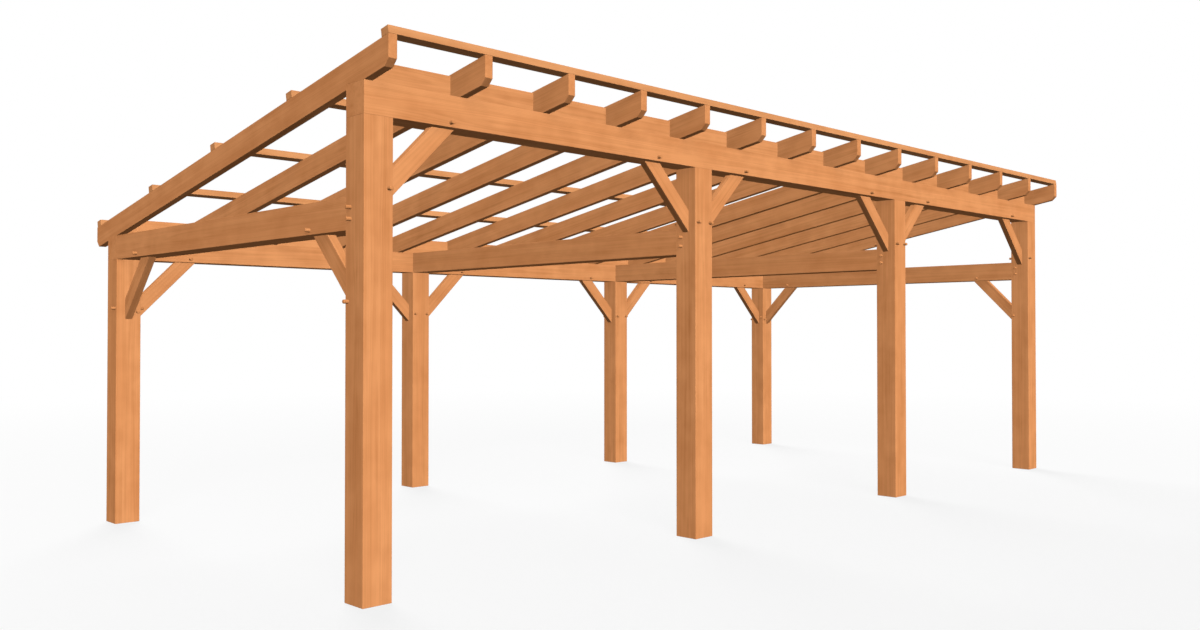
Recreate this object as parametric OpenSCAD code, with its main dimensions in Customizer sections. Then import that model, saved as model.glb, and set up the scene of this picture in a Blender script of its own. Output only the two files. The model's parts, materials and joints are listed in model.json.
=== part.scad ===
// Open timber canopy with a single-pitch roof frame: four cross frames of a tall front post,
// a tie beam and a low rear post carry two plates, and the rafters and roof battens lie on these.
// X runs along the length, the tall front faces -Y and Z is up.
// The origin is the centre of the plan at ground level.

/* [Overall] */
// Length over the end posts
length = 9100; // [7000:10:11000]
// Depth over the front and rear posts
depth = 4020; // [3400:10:5000]
// Height of the rear posts up to the rear plate
rear_post_h = 2215; // [1900:5:2600]
// Slope of the roof in degrees, rising to the front
pitch = 10; // [8:0.5:12]

/* [Timber sections] */
// Side of the square posts, plates and tie beams
post_w = 200; // [180:5:220]
// Thickness of the knee braces
brace_t = 60; // [50:2:70]
// Depth of the knee braces, square to their length
brace_d = 120; // [100:5:140]
// Width of the rafters
rafter_w = 58; // [45:1:75]
// Depth of the rafters, square to the slope
rafter_d = 175; // [150:5:200]
// Width of the roof battens along the slope
batten_w = 75; // [50:1:90]
// Height of the roof battens
batten_h = 50; // [35:1:60]
// Thickness of the blocking boards between the rafters
blocking_t = 27; // [18:1:40]
// Height of the blocking boards
blocking_h = 150; // [120:1:155]

/* [Layout] */
// Number of rafters
rafter_count = 14; // [10:1:16]
// Rafter overhang past the plates, front and rear
overhang = 255; // [150:5:350]
// Chamfer at 45 degrees on the lower corner of each rafter tail
tail_chamfer = 45; // [20:1:60]
// Length of a knee brace's foot along the post and along the beam
brace_leg = 500; // [450:5:600]

/* [Joints] */
// Length of the post tenons in the plates
post_tenon_l = 80; // [60:5:100]
// Thickness of the post and tie tenons
tenon_t = 60; // [50:2:64]
// Width of the post tenons along the plates
post_tenon_w = 100; // [80:5:110]
// Height of the tie tenons
tie_tenon_h = 150; // [120:5:160]
// Length of the tie tenons in the front posts
tie_tenon_l = 110; // [100:2:120]
// Length of the tie stub tenons in the rear plate
tie_stub_l = 50; // [30:1:55]
// Length of the brace tenons
brace_tenon_l = 60; // [50:1:62]
// Thickness of the brace tenons
brace_tenon_t = 40; // [30:1:44]
// Diameter of the pegs
peg_d = 25; // [20:0.5:28]
// Length of peg that stands out of each face
peg_proud = 34; // [5:1:45]
// Distance of the brace pegs from the shoulder of their tenon
peg_inset = 29; // [24:1:36]
// Distance of the brace pegs past the middle of the brace's end
peg_shift = 10; // [5:1:20]
// Space between pegs that pass over each other in a post
peg_gap = 5; // [3:1:10]
// Chamfer on the ends of the pegs
peg_chamfer = 3; // [1:0.5:5]
// Distance of the tie pegs from the shoulder of their tenon
tie_peg_inset = 55; // [45:1:60]
// Distance between the two pegs of a tie
tie_peg_gap = 70; // [60:1:80]

/* [Clearances] */
// Clearance at the cheeks and edges of a tenon
mortise_fit = 0.5; // [0.2:0.1:2]
// Space left past the end of a tenon, or of a peg in a pocket
mortise_end = 3; // [1:0.5:6]
// Clearance around a peg in its bore
peg_fit = 0.1; // [0.05:0.05:0.5]

/* [Hidden] */
$fn = 24;

timber = [0.86, 0.60, 0.38];
peg_timber = [0.74, 0.49, 0.29];

frames = 4;
battens = 5;
cut = 1;

half = post_w / 2;
bay = (length - post_w) / (frames - 1);
front_y = -depth / 2 + half;
rear_y = depth / 2 - half;
rear_plate_z = rear_post_h;
rear_seat_z = rear_plate_z + post_w;
front_seat_z = rear_seat_z + (depth - post_w) * tan(pitch);
front_plate_z = front_seat_z - post_w;
tie_z = rear_plate_z;
rafter_pitch = (length - rafter_w) / (rafter_count - 1);
batten_span = batten_w * cos(pitch) + batten_h * sin(pitch);
batten_pitch = (depth + 2 * overhang - batten_span) / (battens - 1);

// Height of a knee brace's end where it meets the post
brace_foot = brace_d / cos(45);
// Distance of a knee brace's pegs from its corner
peg_reach = brace_leg - brace_foot / 2 + peg_shift;
// Height between two pegs that cross in a post
peg_pass = peg_d + peg_gap;
// In the rear corner posts the pegs of the row pass under those of the end frame
low_peg_drop = peg_reach + peg_pass / 2;
high_peg_drop = peg_reach - peg_pass / 2;
// In the front posts the pegs of the row pass clear of the two pegs of the tie
low_tie_peg_z = tie_z + half - tie_peg_gap / 2;
high_tie_peg_z = low_tie_peg_z + tie_peg_gap;
front_peg_z = clear_of(clear_of(front_plate_z - peg_reach, high_tie_peg_z), low_tie_peg_z);
// Drop of the row's pegs below the plate, for each post of a row
front_drops = [for (i = [0 : frames - 1]) front_plate_z - front_peg_z];
rear_drops = [for (i = [0 : frames - 1]) is_end_frame(i) ? low_peg_drop : peg_reach];
peg_l = post_w + 2 * peg_proud;

// The first and last cross frames have knee braces of their own
function is_end_frame(i) = i == 0 || i == frames - 1;
// Centre line of a cross frame, counted from the left
function frame_x(i) = -length / 2 + half + i * bay;
// Left face of a rafter, counted from the left
function rafter_x(i) = -length / 2 + i * rafter_pitch;
// Underside and top of the rafters, as heights over a place y
function under_z(y) = front_seat_z - (y - (front_y - half)) * tan(pitch);
function top_z(y) = under_z(y) + rafter_d / cos(pitch);
// A peg's height z, moved away from a crossing peg where it would meet it
function clear_of(z, crossing) =
    abs(z - crossing) < peg_pass ? crossing + (z < crossing ? -peg_pass : peg_pass) : z;

// Draws a flat outline, given in X and Z, as a board of thickness t about the plane Y = 0
module board_xz(points, t) {
    rotate([90, 0, 0]) linear_extrude(t, center = true) polygon(points);
}

// Draws a flat outline, given in Y and Z, as a board of width w that starts at X = 0
module board_yz(points, w) {
    rotate([90, 0, 90]) linear_extrude(w) polygon(points);
}

// A box centred in X and Y that stands on Z = 0
module upright_box(x, y, z) {
    translate([-x / 2, -y / 2, 0]) cube([x, y, z]);
}

// Places children at the corners between post i of a row and the plate over it
module at_row_knees(i, y, z) {
    if (i < frames - 1) translate([frame_x(i) + half, y, z]) children();
    if (i > 0) translate([frame_x(i) - half, y, z]) mirror([1, 0, 0]) children();
}

// Places children at the corner between the front post and the tie of an end frame
module at_front_knee(i) {
    translate([frame_x(i), front_y + half, tie_z]) rotate(90) children();
}

// Places children at the corner between the rear post and the tie of an end frame
module at_rear_knee(i) {
    translate([frame_x(i), rear_y - half, tie_z]) rotate(-90) children();
}

// A peg or its bore along Y, centred
module peg_rod(d, l) {
    rotate([90, 0, 0]) cylinder(d = d, h = l, center = true);
}

// A peg along Y with its two ends chamfered
module peg() {
    straight = peg_l - 2 * peg_chamfer;
    rotate([90, 0, 0]) {
        cylinder(d = peg_d, h = straight, center = true);
        for (side = [0, 1]) mirror([0, 0, side]) translate([0, 0, straight / 2])
            cylinder(d1 = peg_d, d2 = peg_d - 2 * peg_chamfer, h = peg_chamfer);
    }
}

// Places children at a knee's peg in the post, a drop below the beam
module at_post_peg(drop) {
    translate([-peg_inset, 0, -drop]) children();
}

// Places children at both pegs of a knee, in the post and in the beam
module at_knee_pegs(drop) {
    at_post_peg(drop) children();
    translate([peg_reach, 0, peg_inset]) children();
}

module knee_bores(drop) {
    at_knee_pegs(drop) peg_rod(peg_d + 2 * peg_fit, post_w + 2 * cut);
}

// A knee brace with a pegged tenon at each end; the post stands on its -X side and the beam lies over it
module knee_brace(drop) {
    leg = brace_leg;
    near = leg - brace_foot;
    difference() {
        union() {
            board_xz([[0, -leg], [0, -near], [near, 0], [leg, 0]], brace_t);
            board_xz([
                [0, -leg], [-brace_tenon_l, -leg], [-brace_tenon_l, -near - brace_tenon_l], [0, -near]
            ], brace_tenon_t);
            board_xz([
                [leg, 0], [leg, brace_tenon_l], [near + brace_tenon_l, brace_tenon_l], [near, 0]
            ], brace_tenon_t);
        }
        knee_bores(drop);
    }
}

// The mortises that a knee brace needs in its post and in its beam
module knee_mortises() {
    long = brace_foot + 2 * mortise_fit;
    deep = brace_tenon_l + mortise_end + cut;
    wide = brace_tenon_t + 2 * mortise_fit;
    near = brace_leg - brace_foot - mortise_fit;
    translate([cut - deep, -wide / 2, -near - long]) cube([deep, wide, long]);
    translate([near, -wide / 2, -cut]) cube([long, wide, deep]);
}

module knee_cuts(drop) {
    knee_mortises();
    knee_bores(drop);
}

// A post with the tenon that stands in the plate
module post(h) {
    upright_box(post_w, post_w, h);
    translate([0, 0, h]) upright_box(post_tenon_w, tenon_t, post_tenon_l);
}

module post_mortise() {
    fit = 2 * mortise_fit;
    translate([0, 0, -cut])
        upright_box(post_tenon_w + fit, tenon_t + fit, post_tenon_l + mortise_end + cut);
}

// A tenon of a tie beam that points to -Y from its shoulder, with extra for the mortise
module tie_tenon(l, fit, end) {
    h = tie_tenon_h + 2 * fit;
    translate([-tenon_t / 2 - fit, -l - end, (post_w - h) / 2])
        cube([tenon_t + 2 * fit, l + end + cut, h]);
}

// Places children at the two pegs of a tie beam's joint with its front post, turned along X
module at_tie_pegs(i) {
    for (z = [low_tie_peg_z, high_tie_peg_z])
        translate([frame_x(i), front_y + half - tie_peg_inset, z]) rotate(90) children();
}

module tie_bores(i) {
    at_tie_pegs(i) peg_rod(peg_d + 2 * peg_fit, post_w + 2 * cut);
}

// Pockets in a tie's front shoulder for the row's pegs, where these come out of the post at its height
module row_peg_pockets(i) {
    at_row_knees(i, front_y, front_plate_z) at_post_peg(front_drops[i])
        peg_rod(peg_d + 2 * peg_fit, peg_l + 2 * mortise_end);
}

module front_post(i) {
    color(timber) difference() {
        translate([frame_x(i), front_y, 0]) post(front_plate_z);
        at_row_knees(i, front_y, front_plate_z) knee_cuts(front_drops[i]);
        translate([frame_x(i), front_y + half, tie_z]) tie_tenon(tie_tenon_l, mortise_fit, mortise_end);
        tie_bores(i);
        if (is_end_frame(i)) at_front_knee(i) knee_cuts(peg_reach);
    }
}

module rear_post(i) {
    color(timber) difference() {
        translate([frame_x(i), rear_y, 0]) post(rear_plate_z);
        at_row_knees(i, rear_y, rear_plate_z) knee_cuts(rear_drops[i]);
        if (is_end_frame(i)) at_rear_knee(i) knee_cuts(high_peg_drop);
    }
}

// A plate along a row of posts, with the mortises of the posts and of the row's braces
module plate(y, z, drops) {
    difference() {
        translate([0, y, z]) upright_box(length, post_w, post_w);
        for (i = [0 : frames - 1]) {
            translate([frame_x(i), y, z]) post_mortise();
            at_row_knees(i, y, z) knee_cuts(drops[i]);
        }
    }
}

module front_plate() {
    color(timber) plate(front_y, front_plate_z, front_drops);
}

module rear_plate() {
    color(timber) difference() {
        plate(rear_y, rear_plate_z, rear_drops);
        for (i = [0 : frames - 1])
            translate([frame_x(i), rear_y - half, tie_z]) mirror([0, 1, 0])
                tie_tenon(tie_stub_l, mortise_fit, mortise_end);
    }
}

module tie_beam(i) {
    shoulder_front = front_y + half;
    shoulder_rear = rear_y - half;
    color(timber) difference() {
        translate([frame_x(i), 0, tie_z]) {
            translate([-half, shoulder_front, 0]) cube([post_w, shoulder_rear - shoulder_front, post_w]);
            translate([0, shoulder_front, 0]) tie_tenon(tie_tenon_l, 0, 0);
            translate([0, shoulder_rear, 0]) mirror([0, 1, 0]) tie_tenon(tie_stub_l, 0, 0);
        }
        tie_bores(i);
        row_peg_pockets(i);
        if (is_end_frame(i)) {
            at_front_knee(i) knee_cuts(peg_reach);
            at_rear_knee(i) knee_cuts(high_peg_drop);
        }
    }
}

module row_braces(y, z, drops) {
    color(timber) for (i = [0 : frames - 1]) at_row_knees(i, y, z) knee_brace(drops[i]);
}

module frame_braces(i) {
    color(timber) {
        at_front_knee(i) knee_brace(peg_reach);
        at_rear_knee(i) knee_brace(high_peg_drop);
    }
}

module row_pegs(y, z, drops) {
    color(peg_timber) for (i = [0 : frames - 1]) at_row_knees(i, y, z) at_knee_pegs(drops[i]) peg();
}

module end_frame_pegs() {
    color(peg_timber) for (i = [0, frames - 1]) {
        at_front_knee(i) at_knee_pegs(peg_reach) peg();
        at_rear_knee(i) at_knee_pegs(high_peg_drop) peg();
    }
}

module tie_pegs() {
    color(peg_timber) for (i = [0 : frames - 1]) at_tie_pegs(i) peg();
}

// A rafter with a birdsmouth over each plate and a chamfered corner under each tail
module rafter(i) {
    front = front_y - half;
    rear = rear_y + half;
    tail_front = front - overhang;
    tail_rear = rear + overhang;
    color(timber) translate([rafter_x(i), 0, 0]) board_yz([
        [tail_front, top_z(tail_front)],
        [tail_front, under_z(tail_front + tail_chamfer) + tail_chamfer],
        [tail_front + tail_chamfer, under_z(tail_front + tail_chamfer)],
        [front, front_seat_z],
        [front + post_w, front_seat_z],
        [front + post_w, under_z(front + post_w)],
        [rear - post_w, rear_seat_z],
        [rear, rear_seat_z],
        [rear, under_z(rear)],
        [tail_rear - tail_chamfer, under_z(tail_rear - tail_chamfer)],
        [tail_rear, under_z(tail_rear - tail_chamfer) + tail_chamfer],
        [tail_rear, top_z(tail_rear)]
    ], rafter_w);
}

// A batten that lies on all the rafters, counted from the front
module roof_batten(i) {
    y = -depth / 2 - overhang + i * batten_pitch;
    color(timber) translate([-length / 2, y, top_z(y)]) rotate([-pitch, 0, 0])
        cube([length, batten_w, batten_h]);
}

// Boards that close the gaps between the rafters, with their front face over the middle of a plate
module blocking(y, z) {
    color(timber) for (i = [0 : rafter_count - 2])
        translate([rafter_x(i) + rafter_w, y, z]) cube([rafter_pitch - rafter_w, blocking_t, blocking_h]);
}

front_post(0);  // front_post_1
front_post(1);  // front_post_2
front_post(2);  // front_post_3
front_post(3);  // front_post_4
rear_post(0);  // rear_post_1
rear_post(1);  // rear_post_2
rear_post(2);  // rear_post_3
rear_post(3);  // rear_post_4
front_plate();
rear_plate();
tie_beam(0);  // tie_beam_1
tie_beam(1);  // tie_beam_2
tie_beam(2);  // tie_beam_3
tie_beam(3);  // tie_beam_4
row_braces(front_y, front_plate_z, front_drops);  // front_row_braces
row_braces(rear_y, rear_plate_z, rear_drops);  // rear_row_braces
frame_braces(0);  // left_frame_braces
frame_braces(frames - 1);  // right_frame_braces
row_pegs(front_y, front_plate_z, front_drops);  // front_row_pegs
row_pegs(rear_y, rear_plate_z, rear_drops);  // rear_row_pegs
end_frame_pegs();
tie_pegs();
rafter(0);  // rafter_01
rafter(1);  // rafter_02
rafter(2);  // rafter_03
rafter(3);  // rafter_04
rafter(4);  // rafter_05
rafter(5);  // rafter_06
rafter(6);  // rafter_07
rafter(7);  // rafter_08
rafter(8);  // rafter_09
rafter(9);  // rafter_10
rafter(10);  // rafter_11
rafter(11);  // rafter_12
rafter(12);  // rafter_13
rafter(13);  // rafter_14
roof_batten(0);  // roof_batten_1
roof_batten(1);  // roof_batten_2
roof_batten(2);  // roof_batten_3
roof_batten(3);  // roof_batten_4
roof_batten(4);  // roof_batten_5
blocking(front_y, front_seat_z);  // front_blocking
blocking(rear_y, rear_seat_z);  // rear_blocking
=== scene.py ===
import json
import math
import random

import bmesh
import bpy
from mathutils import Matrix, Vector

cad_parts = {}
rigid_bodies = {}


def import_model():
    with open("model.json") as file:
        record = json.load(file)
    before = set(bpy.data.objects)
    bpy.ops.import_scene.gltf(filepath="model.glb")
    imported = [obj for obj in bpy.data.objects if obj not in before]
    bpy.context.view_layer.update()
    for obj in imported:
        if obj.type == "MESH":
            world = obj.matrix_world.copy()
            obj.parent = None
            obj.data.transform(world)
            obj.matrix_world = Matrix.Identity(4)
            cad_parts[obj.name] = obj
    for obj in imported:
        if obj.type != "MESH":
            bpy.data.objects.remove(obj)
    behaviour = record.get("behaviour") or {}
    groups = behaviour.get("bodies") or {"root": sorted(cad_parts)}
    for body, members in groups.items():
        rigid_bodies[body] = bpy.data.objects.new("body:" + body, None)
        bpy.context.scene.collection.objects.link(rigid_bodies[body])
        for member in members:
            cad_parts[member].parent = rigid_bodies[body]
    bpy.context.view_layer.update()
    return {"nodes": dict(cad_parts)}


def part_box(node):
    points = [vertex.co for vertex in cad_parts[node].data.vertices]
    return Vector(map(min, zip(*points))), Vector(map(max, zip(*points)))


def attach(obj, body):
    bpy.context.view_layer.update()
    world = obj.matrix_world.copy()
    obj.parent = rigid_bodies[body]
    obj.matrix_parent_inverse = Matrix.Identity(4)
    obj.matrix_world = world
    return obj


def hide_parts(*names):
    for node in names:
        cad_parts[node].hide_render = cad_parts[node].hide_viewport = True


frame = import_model()

# Camera: it stands at eye height, outside the left front corner, and looks along the canopy.
# Its place, turn and lens come from the post feet and plate edges in the photograph.
IMAGE_WIDTH = 1200
SENSOR_WIDTH = 36.0
FOCAL_PIXELS = 1071.6
CAMERA_PLACE = (-7.932, -7.437, 1.621)
CAMERA_TURN = math.radians(-44.378)
CAMERA_LIFT = math.radians(0.805)

lens = bpy.data.cameras.new("camera")
lens.sensor_width = SENSOR_WIDTH
lens.lens = FOCAL_PIXELS * SENSOR_WIDTH / IMAGE_WIDTH
camera = bpy.data.objects.new("camera", lens)
camera.location = CAMERA_PLACE
camera.rotation_euler = (math.pi / 2 + CAMERA_LIFT, 0, CAMERA_TURN)
bpy.context.collection.objects.link(camera)
bpy.context.scene.camera = camera

# Posts: four tall ones in front and four low ones behind, square timbers sawn and planed from softwood.
# Each keeps the heart of its tree, so the growth rings lie about its own middle.
# It stands on a plain flat foot and carries a plate on a tenon.
POST_RING = 0.0075
ARRIS = 0.002
# Colours of the early wood, the late wood and the warm patches
TONES = ("Early", "Late", "Warm")
SOFTWOOD = ((0.86, 0.362, 0.140), (0.60, 0.222, 0.073), (0.78, 0.300, 0.105))
# How far the tree's heart may lie from a timber's middle, how far along the tree a timber may start,
# and how far a post may be turned about the heart, in radians
HEART_SHIFT = 0.03
TREE_REACH = 4
HEART_TURN = 6.2
# The tone over one year's growth, from 0 for early wood to 1 for late wood
YEAR_TONES = ((0.0, 0.25), (0.12, 0.0), (0.55, 0.18), (0.88, 1.0), (1.0, 0.25))
# Soft figures: scale across and along the grain, detail, and share in the late tone
BANDS = ((38.0, 38.0, 0.8), 3.0, 1.0)
BROAD_STREAKS = ((11.0, 11.0, 0.5), 3.0, 1.05)
MOTTLE = ((6.0, 6.0, 4.8), 2.0, 1.05)
FIBRES = ((420.0, 420.0, 9.0), 2.0, 0.33)
RING_SHARE = 0.27
# The level of rings and figures together at which wood is as pale as early wood
PALE_LEVEL = 1.473
# Other figures, with their scale and detail: the sway of the rings in metres, the years by which they stray,
# and the level at which wood turns warm
GRAIN_SWAY = ((2.4, 2.4, 0.45), 2.0, 0.045)
UNEVEN_YEARS = ((30.0, 30.0, 1.0), 1.0, 1.6)
WARM_PATCHES = ((6.0, 6.0, 0.9), 2.0, 0.35)
# Depth and strength of the relief, roughness between the fibres and what the fibres add to it
GRAIN_RELIEF = 0.001
RELIEF_STRENGTH = 0.25
PLANED_ROUGHNESS = 0.65
FIBRE_ROUGHNESS = 0.2


def link_nodes(tree, pairs):
    for start, end in pairs:
        tree.links.new(start, end)


def math_node(tree, operation, a, b=None):
    node = tree.nodes.new("ShaderNodeMath")
    node.operation = operation
    for socket, value in zip(node.inputs, (a, b)):
        if value is None:
            continue
        if isinstance(value, (int, float)):
            socket.default_value = value
        else:
            tree.links.new(value, socket)
    return node.outputs[0]


def vector_node(tree, operation, a, b):
    node = tree.nodes.new("ShaderNodeVectorMath")
    node.operation = operation
    for socket, value in zip(node.inputs, (a, b)):
        if isinstance(value, tuple):
            socket.default_value = value
        else:
            tree.links.new(value, socket)
    return node.outputs["Value" if operation == "LENGTH" else "Vector"]


def noise_node(tree, vector, scale, detail):
    node = tree.nodes.new("ShaderNodeTexNoise")
    node.inputs["Scale"].default_value = 1.0
    node.inputs["Detail"].default_value = detail
    tree.links.new(vector_node(tree, "MULTIPLY", vector, scale), node.inputs["Vector"])
    return node


def mix_colour(tree, factor, a, b):
    node = tree.nodes.new("ShaderNodeMix")
    node.data_type = "RGBA"
    for socket, value in zip((node.inputs[0], node.inputs[6], node.inputs[7]), (factor, a, b)):
        tree.links.new(value, socket)
    return node.outputs[2]


def growth_rings(tree, place, ring):
    """The tone of the growth rings about the Z axis, which sway and vary in width."""
    sway_scale, sway_detail, sway_reach = GRAIN_SWAY
    sway = noise_node(tree, place, sway_scale, sway_detail).outputs["Color"]
    sway = vector_node(tree, "SUBTRACT", sway, (0.5, 0.5, 0.5))
    sway = vector_node(tree, "MULTIPLY", sway, (sway_reach, sway_reach, 0.0))
    across = vector_node(tree, "MULTIPLY", vector_node(tree, "ADD", place, sway), (1.0, 1.0, 0.0))
    years = math_node(tree, "DIVIDE", vector_node(tree, "LENGTH", across, (0.0, 0.0, 0.0)), ring)
    uneven_scale, uneven_detail, uneven_years = UNEVEN_YEARS
    uneven = noise_node(tree, across, uneven_scale, uneven_detail).outputs["Fac"]
    years = math_node(tree, "ADD", years, math_node(tree, "MULTIPLY", uneven, uneven_years))
    year = tree.nodes.new("ShaderNodeValToRGB")
    ramp = year.color_ramp.elements
    for position, tone in YEAR_TONES:
        stop = ramp[0] if position == 0 else ramp[-1] if position == 1 else ramp.new(position)
        stop.color = (tone, tone, tone, 1)
    tree.links.new(math_node(tree, "FRACT", years), year.inputs["Fac"])
    return year.outputs["Color"]


def build_grown_timber():
    """Growth rings about the Z axis, with soft bands, fine fibres and slow changes of tone along them."""
    tree = bpy.data.node_groups.new("grown_timber", "ShaderNodeTree")
    sockets = tree.interface
    sockets.new_socket("Vector", in_out="INPUT", socket_type="NodeSocketVector")
    sockets.new_socket("Ring", in_out="INPUT", socket_type="NodeSocketFloat")
    for tone in TONES:
        sockets.new_socket(tone, in_out="INPUT", socket_type="NodeSocketColor")
    sockets.new_socket("Color", in_out="OUTPUT", socket_type="NodeSocketColor")
    sockets.new_socket("Roughness", in_out="OUTPUT", socket_type="NodeSocketFloat")
    sockets.new_socket("Height", in_out="OUTPUT", socket_type="NodeSocketFloat")
    given = tree.nodes.new("NodeGroupInput")
    result = tree.nodes.new("NodeGroupOutput")
    place = given.outputs["Vector"]

    rings = growth_rings(tree, place, given.outputs["Ring"])
    fibre_scale, fibre_detail, fibre_share = FIBRES
    fibres = noise_node(tree, place, fibre_scale, fibre_detail).outputs["Fac"]
    level = math_node(tree, "MULTIPLY", rings, RING_SHARE)
    level = math_node(tree, "ADD", level, math_node(tree, "MULTIPLY", fibres, fibre_share))
    for scale, detail, share in (BANDS, BROAD_STREAKS, MOTTLE):
        figure = noise_node(tree, place, scale, detail).outputs["Fac"]
        level = math_node(tree, "ADD", level, math_node(tree, "MULTIPLY", figure, share))
    lateness = math_node(tree, "SUBTRACT", level, PALE_LEVEL)
    clear = mix_colour(tree, lateness, given.outputs["Early"], given.outputs["Late"])
    warm_scale, warm_detail, warm_level = WARM_PATCHES
    warmth = noise_node(tree, place, warm_scale, warm_detail).outputs["Fac"]
    warmth = math_node(tree, "SUBTRACT", warmth, warm_level)
    colour = mix_colour(tree, warmth, clear, given.outputs["Warm"])
    height = math_node(tree, "MULTIPLY", math_node(tree, "ADD", rings, fibres), 0.5)
    rough = math_node(tree, "MULTIPLY", fibres, FIBRE_ROUGHNESS)
    rough = math_node(tree, "ADD", rough, PLANED_ROUGHNESS)
    link_nodes(tree, [
        (colour, result.inputs["Color"]),
        (rough, result.inputs["Roughness"]),
        (height, result.inputs["Height"]),
    ])
    return tree


grown_timber = build_grown_timber()


def timber(name, heart, turn, ring, colours=SOFTWOOD, folded=None):
    """A matt timber: its grain runs along Z turned by turn, with the tree's heart at the point heart."""
    material = bpy.data.materials.new(name)
    material.use_nodes = True
    tree = material.node_tree
    shader = tree.nodes["Principled BSDF"]
    place = folded(tree) if folded else tree.nodes.new("ShaderNodeTexCoord").outputs["Object"]
    mapping = tree.nodes.new("ShaderNodeMapping")
    mapping.vector_type = "TEXTURE"
    mapping.inputs["Location"].default_value = heart
    mapping.inputs["Rotation"].default_value = turn
    grain = tree.nodes.new("ShaderNodeGroup")
    grain.node_tree = grown_timber
    grain.inputs["Ring"].default_value = ring
    for tone, colour in zip(TONES, colours):
        grain.inputs[tone].default_value = (*colour, 1)
    bump = tree.nodes.new("ShaderNodeBump")
    bump.inputs["Strength"].default_value = RELIEF_STRENGTH
    bump.inputs["Distance"].default_value = GRAIN_RELIEF
    shader.inputs["Specular IOR Level"].default_value = 0.0
    link_nodes(tree, [
        (place, mapping.inputs["Vector"]),
        (mapping.outputs["Vector"], grain.inputs["Vector"]),
        (grain.outputs["Color"], shader.inputs["Base Color"]),
        (grain.outputs["Roughness"], shader.inputs["Roughness"]),
        (grain.outputs["Height"], bump.inputs["Height"]),
        (bump.outputs["Normal"], shader.inputs["Normal"]),
    ])
    return material


def solids_of(shape):
    """The separate solids of a mesh, each as a list of its vertices."""
    found = set()
    for start in shape.verts:
        if start in found:
            continue
        solid = [start]
        found.add(start)
        for vert in solid:
            near = [edge.other_vert(vert) for edge in vert.link_edges]
            fresh = [other for other in near if other not in found]
            found.update(fresh)
            solid.extend(fresh)
        yield solid


# Faces within this many metres of the outermost plane lie in it,
# and edges that turn by more than this angle are arrises
FLUSH = 0.0001
SHARP = 0.3


def outer_arrises(solid):
    """The edges between two outermost faces of a solid, so none of a mortise, peg hole or shoulder."""
    outer = {}
    for face in dict.fromkeys(face for vert in solid for face in vert.link_faces):
        reach = face.normal.dot(face.verts[0].co)
        if all(face.normal.dot(vert.co) < reach + FLUSH for vert in solid):
            outer[face] = True
    edges = dict.fromkeys(edge for face in outer for edge in face.edges)
    between = [edge for edge in edges if all(face in outer for face in edge.link_faces)]
    return [edge for edge in between if edge.calc_face_angle(0) > SHARP]


# Corners within this many metres of each other are one,
# and faces that turn by less than this angle are one plane
SAME_CORNER = 0.00002
SAME_PLANE = 0.01


def dress(node, material):
    """Puts a timber with eased arrises in the place of a node."""
    shape = bmesh.new()
    shape.from_mesh(frame["nodes"][node].data)
    bmesh.ops.remove_doubles(shape, verts=shape.verts, dist=SAME_CORNER)
    bmesh.ops.dissolve_limit(shape, angle_limit=SAME_PLANE, verts=shape.verts, edges=shape.edges)
    arrises = [edge for solid in solids_of(shape) for edge in outer_arrises(solid)]
    bmesh.ops.bevel(
        shape, geom=arrises, affect="EDGES", offset=ARRIS, offset_type="OFFSET",
        segments=2, profile=0.5, material=-1,
    )
    for face in shape.faces:
        face.smooth = False
    mesh = bpy.data.meshes.new(node + "_timber")
    shape.to_mesh(mesh)
    shape.free()
    mesh.materials.append(material)
    piece = bpy.data.objects.new(node + "_timber", mesh)
    bpy.context.collection.objects.link(piece)
    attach(piece, "root")
    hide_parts(node)


def nodes_like(start):
    """The names of the nodes that begin alike, in the order of their numbers."""
    return sorted(name for name in frame["nodes"] if name.startswith(start))


def middle(node):
    low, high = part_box(node)
    return [(a + b) / 2 for a, b in zip(low, high)]


GROWTH_SEED = 7
growth = random.Random(GROWTH_SEED)


def give_or_take(reach):
    return growth.uniform(-reach, reach)


def near_heart(value):
    return value + give_or_take(HEART_SHIFT)


def along_tree():
    return give_or_take(TREE_REACH)


for post in nodes_like("front_post") + nodes_like("rear_post"):
    x, y, _ = middle(post)
    heart = (near_heart(x), near_heart(y), along_tree())
    turn = (0, 0, growth.uniform(0, HEART_TURN))
    dress(post, timber(post, heart, turn, POST_RING))

# Plates: one long square timber over each row of posts, of the same planed softwood.
# They run the full length in one piece, mortised from below for the posts and braces,
# and carry the rafters on their level tops.
ALONG_X = (0, math.pi / 2, 0)
for plate in ("front_plate", "rear_plate"):
    _, y, z = middle(plate)
    heart = (along_tree(), near_heart(y), near_heart(z))
    dress(plate, timber(plate, heart, ALONG_X, POST_RING))

# Tie beams: square softwood timbers that join each front post to the rear plate, level with that plate.
# Two pegs hold the long tenon in the post, and a stub tenon sits in the plate.
ALONG_Y = (-math.pi / 2, 0, 0)
for tie in nodes_like("tie_beam"):
    x, _, z = middle(tie)
    heart = (near_heart(x), along_tree(), near_heart(z))
    dress(tie, timber(tie, heart, ALONG_Y, POST_RING))

# Knee braces: short flat softwood timbers at 45 degrees, tenoned and pegged into a post and the beam over it.
# Those of a row mirror each other at every post, and those of an end frame mirror each other at its middle,
# so their grain is laid in folded coordinates and shifted sideways from brace to brace.
POST_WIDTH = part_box("front_post_1")[1][0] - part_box("front_post_1")[0][0]
FRAME_LEFT = middle("front_post_1")[0]
BAY = middle("front_post_2")[0] - FRAME_LEFT
BRACE_SLOPE = math.radians(45)
BRACE_RING = 0.006
# Distances of the tree's heart sideways from a brace's middle, from the post's face,
# and from the outer end of an end frame's brace
BESIDE_HEART, ROW_HEART, END_HEART = 0.11, 0.20, 0.25
# Sideways shifts of the grain, for each metre along a row and to both sides of an end frame's middle
ROW_SHIFT, END_SHIFT = 0.031, 0.041


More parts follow.
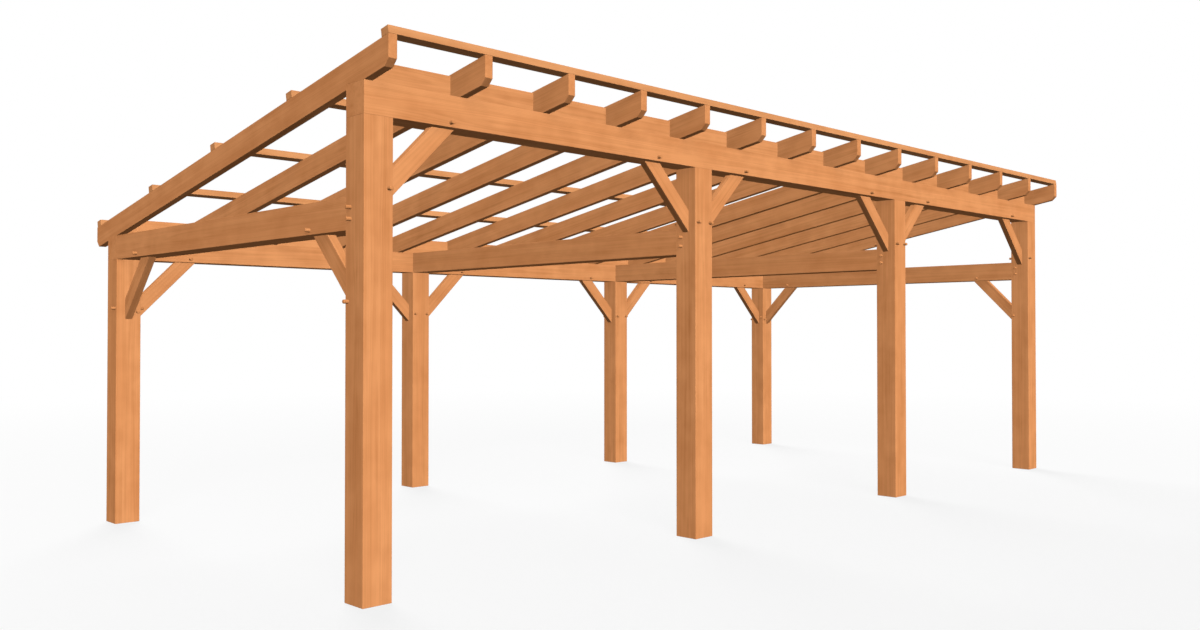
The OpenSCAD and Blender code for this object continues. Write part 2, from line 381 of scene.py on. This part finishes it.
def split_place(tree):
    """The object's own coordinates, taken apart."""
    split = tree.nodes.new("ShaderNodeSeparateXYZ")
    tree.links.new(tree.nodes.new("ShaderNodeTexCoord").outputs["Object"], split.inputs[0])
    return split.outputs


def joined_place(tree, x, y, z):
    """Coordinates put together again."""
    join = tree.nodes.new("ShaderNodeCombineXYZ")
    link_nodes(tree, zip((x, y, z), join.inputs))
    return join.outputs[0]


def fold_at_posts(tree):
    """Coordinates with X as the distance from the nearest post's middle, shifted along Y for each brace."""
    x, y, z = split_place(tree)
    from_left = math_node(tree, "SUBTRACT", x, FRAME_LEFT)
    from_post = math_node(tree, "PINGPONG", from_left, BAY / 2)
    brace = math_node(tree, "MULTIPLY", math_node(tree, "SNAP", from_left, BAY / 2), ROW_SHIFT)
    return joined_place(tree, from_post, math_node(tree, "ADD", y, brace), z)


def fold_at_middle(tree):
    """Coordinates with Y as the distance from the frame's middle, shifted along X for each brace."""
    x, y, z = split_place(tree)
    from_middle = math_node(tree, "ABSOLUTE", y)
    brace = math_node(tree, "MULTIPLY", math_node(tree, "SIGN", y), END_SHIFT)
    return joined_place(tree, math_node(tree, "ADD", x, brace), from_middle, z)


for braces in ("front_row_braces", "rear_row_braces"):
    _, y, z = middle(braces)
    heart = (POST_WIDTH / 2 + ROW_HEART, y + BESIDE_HEART, z)
    wood = timber(braces, heart, (0, BRACE_SLOPE, 0), BRACE_RING, folded=fold_at_posts)
    dress(braces, wood)
for braces in ("left_frame_braces", "right_frame_braces"):
    x, _, z = middle(braces)
    heart = (x + BESIDE_HEART, abs(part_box(braces)[0][1]) - END_HEART, z)
    wood = timber(braces, heart, (BRACE_SLOPE, 0, 0), BRACE_RING, folded=fold_at_middle)
    dress(braces, wood)

# Pegs: round pins of turned wood, driven through each tenon, with a chamfer at both ends.
# They stand proud of both faces and are a shade darker than the timbers.
# Each is split from wood far beside the heart, so its rings run straight across it.
PEG_WOOD = ((0.80, 0.335, 0.126), (0.60, 0.225, 0.074), (0.72, 0.280, 0.098))
PEG_RING = 0.0028
PEG_HEART = (0.4, 0.3, 0.2)
for pegs, turn in (
    ("front_row_pegs", ALONG_Y),
    ("rear_row_pegs", ALONG_Y),
    ("end_frame_pegs", ALONG_X),
    ("tie_pegs", ALONG_X),
):
    slots = frame["nodes"][pegs].data.materials
    slots.clear()
    slots.append(timber(pegs, PEG_HEART, turn, PEG_RING, PEG_WOOD))

# Rafters: deep softwood planks on edge, sawn from beside the heart, so their faces show long arched rings.
# Each is notched over both plates and has a plumb cut and a chamfered lower corner at each tail.
FRONT_PLATE, REAR_PLATE = middle("front_plate"), middle("rear_plate")
ROOF_SLOPE = math.atan2(FRONT_PLATE[2] - REAR_PLATE[2], REAR_PLATE[1] - FRONT_PLATE[1])
DOWN_SLOPE = (-math.pi / 2 - ROOF_SLOPE, 0, 0)
RAFTER_RING = 0.0065
# How far the heart lies beside a rafter, and how far over or under its middle
RAFTER_BESIDE = (0.05, 0.12)
RAFTER_RISE = 0.04
for rafter in nodes_like("rafter"):
    x, y, z = middle(rafter)
    side = growth.choice((-1, 1))
    beside = side * growth.uniform(*RAFTER_BESIDE)
    rise = give_or_take(RAFTER_RISE)
    down = along_tree()
    heart = (x + beside, y + down * math.cos(ROOF_SLOPE), z + rise - down * math.sin(ROOF_SLOPE))
    dress(rafter, timber(rafter, heart, DOWN_SLOPE, RAFTER_RING))

# Blocking boards: short planed softwood boards that close the gaps between the rafters.
# They stand on the middle of each plate and butt against the rafters.
BOARD_RING = 0.006
# How far the heart lies behind a board, and how far over or under its middle
BOARD_BEHIND = 0.14
BOARD_RISE = 0.05
for boards in ("front_blocking", "rear_blocking"):
    _, y, z = middle(boards)
    heart = (along_tree(), y + BOARD_BEHIND, z + give_or_take(BOARD_RISE))
    dress(boards, timber(boards, heart, ALONG_X, BOARD_RING))

# Roof battens: slim softwood timbers, a little paler, laid across the rafters for the roof covering.
# They run the full length, the first and last flush with the rafter tails.
BATTEN_WOOD = ((0.80, 0.362, 0.148), (0.56, 0.222, 0.078), (0.73, 0.302, 0.111))
BATTEN_RING = 0.005
# How far the heart lies to either side of a batten, and how far below it
BATTEN_BESIDE = 0.1
BATTEN_BELOW = (0.06, 0.12)
for batten in nodes_like("roof_batten"):
    _, y, z = middle(batten)
    heart = (along_tree(), y + give_or_take(BATTEN_BESIDE), z - growth.uniform(*BATTEN_BELOW))
    dress(batten, timber(batten, heart, ALONG_X, BATTEN_RING, BATTEN_WOOD))

# Floor and light: a pale level floor that fades to white and keeps the canopy's shadow, under an even sky.
# The key light from the front left casts no shadow, so every bay is lit alike. A softer light from there and
# a fill from behind cast the shadow. Timbers throw no light on each other, so their undersides stay dark.
FLOOR_RADIUS = 60.0
FLOOR_SIDES = 64
# The floor as it is seen, the share of white in it, and where that share grows to the whole
FLOOR_PALE = 0.97
FLOOR_WHITE = 0.72
FLOOR_FADE = (5.0, 20.0)
# The grey that the floor throws back at the timbers
FLOOR_BOUNCE = 0.145
SKY = 0.08
# Degrees from the front towards the left, degrees above the horizon, strength, spread in degrees, shadow
KEY = (29.3, 26.0, 2.98, 10, False)
SOFT_KEY = (29.3, 26.0, 0.61, 30, True)
FILL = (205.0, 25.0, 2.4, 40, True)


def seen_directly(tree):
    """A mask that is 1 where the camera, a reflection or glass looks at the surface."""
    rays = tree.nodes.new("ShaderNodeLightPath")
    seen = math_node(tree, "ADD", rays.outputs["Is Camera Ray"], rays.outputs["Is Glossy Ray"])
    return math_node(tree, "ADD", seen, rays.outputs["Is Transmission Ray"])


def grey_diffuse(tree, grey):
    node = tree.nodes.new("ShaderNodeBsdfDiffuse")
    node.inputs["Color"].default_value = (grey, grey, grey, 1)
    return node.outputs[0]


def floor_material():
    material = bpy.data.materials.new("floor")
    material.use_nodes = True
    tree = material.node_tree
    tree.nodes.clear()
    out = tree.nodes.new("ShaderNodeOutputMaterial")
    white = tree.nodes.new("ShaderNodeEmission")
    white.inputs["Strength"].default_value = 1.0
    place = tree.nodes.new("ShaderNodeTexCoord").outputs["Object"]
    fade = tree.nodes.new("ShaderNodeMapRange")
    fade.interpolation_type = "SMOOTHSTEP"
    for name, value in zip(("From Min", "From Max", "To Min", "To Max"), (*FLOOR_FADE, FLOOR_WHITE, 1.0)):
        fade.inputs[name].default_value = value
    look = tree.nodes.new("ShaderNodeMixShader")
    whole = tree.nodes.new("ShaderNodeMixShader")
    link_nodes(tree, [
        (vector_node(tree, "LENGTH", place, (0.0, 0.0, 0.0)), fade.inputs["Value"]),
        (fade.outputs[0], look.inputs[0]),
        (grey_diffuse(tree, FLOOR_PALE), look.inputs[1]),
        (white.outputs[0], look.inputs[2]),
        (seen_directly(tree), whole.inputs[0]),
        (grey_diffuse(tree, FLOOR_BOUNCE), whole.inputs[1]),
        (look.outputs[0], whole.inputs[2]),
        (whole.outputs[0], out.inputs["Surface"]),
    ])
    return material


def build_floor():
    mesh = bpy.data.meshes.new("floor")
    shape = bmesh.new()
    bmesh.ops.create_circle(shape, cap_ends=True, segments=FLOOR_SIDES, radius=FLOOR_RADIUS)
    shape.to_mesh(mesh)
    shape.free()
    mesh.materials.append(floor_material())
    floor = bpy.data.objects.new("floor", mesh)
    bpy.context.collection.objects.link(floor)


def build_sky():
    world = bpy.data.worlds.new("sky")
    bpy.context.scene.world = world
    world.use_nodes = True
    tree = world.node_tree
    tree.nodes.clear()
    out = tree.nodes.new("ShaderNodeOutputWorld")
    mix = tree.nodes.new("ShaderNodeMixShader")
    tree.links.new(seen_directly(tree), mix.inputs[0])
    for socket, strength in ((mix.inputs[1], SKY), (mix.inputs[2], 1.0)):
        light = tree.nodes.new("ShaderNodeBackground")
        light.inputs["Color"].default_value = (1, 1, 1, 1)
        light.inputs["Strength"].default_value = strength
        tree.links.new(light.outputs[0], socket)
    tree.links.new(mix.outputs[0], out.inputs["Surface"])


def add_sun(name, azimuth, elevation, strength, spread, shadow):
    light = bpy.data.lights.new(name, "SUN")
    light.energy = strength
    light.angle = math.radians(spread)
    light.use_shadow = shadow
    lamp = bpy.data.objects.new(name, light)
    lamp.rotation_euler = (math.radians(90 - elevation), 0, math.radians(-azimuth))
    bpy.context.collection.objects.link(lamp)


for piece in bpy.data.objects:
    if piece.type == "MESH":
        piece.visible_diffuse = False
build_floor()
build_sky()
add_sun("key", *KEY)
add_sun("soft_key", *SOFT_KEY)
add_sun("fill", *FILL)

# Picture: colours show as they are written.
bpy.context.scene.view_settings.view_transform = "Standard"
